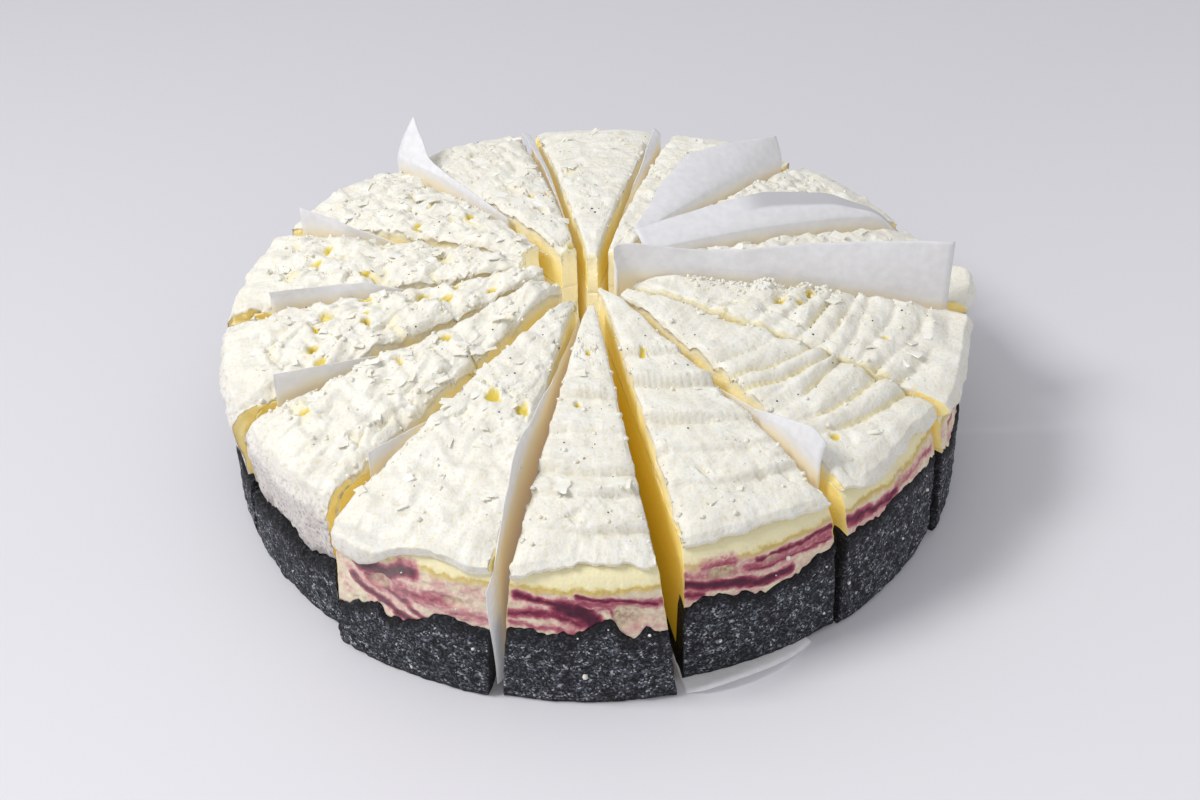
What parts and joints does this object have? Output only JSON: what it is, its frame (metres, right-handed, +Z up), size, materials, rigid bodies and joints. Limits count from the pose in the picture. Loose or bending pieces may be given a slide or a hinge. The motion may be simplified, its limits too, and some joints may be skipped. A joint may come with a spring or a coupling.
{
  "type": "cheesecake",
  "caption": "Round baked cheesecake in a black crumb crust, topped with whipped cream, cut into slices with paper dividers.",
  "frame": {"origin": "middle of the footprint on the surface that the cake stands on", "axes": "+Z up through the cake, -Y to the side that faces the viewer, +X to the viewer's right"},
  "size_m": [0.2686, 0.268, 0.085],
  "materials": {
    "crumb_crust": "rough pressed crumb",
    "baked_cheesecake": "moist, fine-pored, satin",
    "whipped_cream": "soft matte",
    "baking_paper": "thin, translucent, matte"
  },
  "bodies": {
    "root": {"crust_01": "crumb_crust", "crust_02": "crumb_crust", "crust_03": "crumb_crust", "crust_04": "crumb_crust", "crust_05": "crumb_crust", "crust_06": "crumb_crust", "crust_07": "crumb_crust", "crust_08": "crumb_crust", "crust_09": "crumb_crust", "crust_10": "crumb_crust", "crust_11": "crumb_crust", "crust_12": "crumb_crust", "crust_13": "crumb_crust", "crust_14": "crumb_crust", "cheesecake_01": "baked_cheesecake", "cheesecake_02": "baked_cheesecake", "cheesecake_03": "baked_cheesecake", "cheesecake_04": "baked_cheesecake", "cheesecake_05": "baked_cheesecake", "cheesecake_06": "baked_cheesecake", "cheesecake_07": "baked_cheesecake", "cheesecake_08": "baked_cheesecake", "cheesecake_09": "baked_cheesecake", "cheesecake_10": "baked_cheesecake", "cheesecake_11": "baked_cheesecake", "cheesecake_12": "baked_cheesecake", "cheesecake_13": "baked_cheesecake", "cheesecake_14": "baked_cheesecake", "cream_01": "whipped_cream", "cream_02": "whipped_cream", "cream_03": "whipped_cream", "cream_04": "whipped_cream", "cream_05": "whipped_cream", "cream_06": "whipped_cream", "cream_07": "whipped_cream", "cream_08": "whipped_cream", "cream_09": "whipped_cream", "cream_10": "whipped_cream", "cream_11": "whipped_cream", "cream_12": "whipped_cream", "cream_13": "whipped_cream", "cream_14": "whipped_cream", "paper_01": "baking_paper", "paper_03": "baking_paper", "paper_05": "baking_paper", "paper_06": "baking_paper", "paper_07": "baking_paper", "paper_08": "baking_paper", "paper_09": "baking_paper", "paper_10": "baking_paper", "paper_11": "baking_paper", "paper_12": "baking_paper", "paper_13": "baking_paper", "paper_14": "baking_paper", "paper_flap": "baking_paper"}
  },
  "joints": []
}
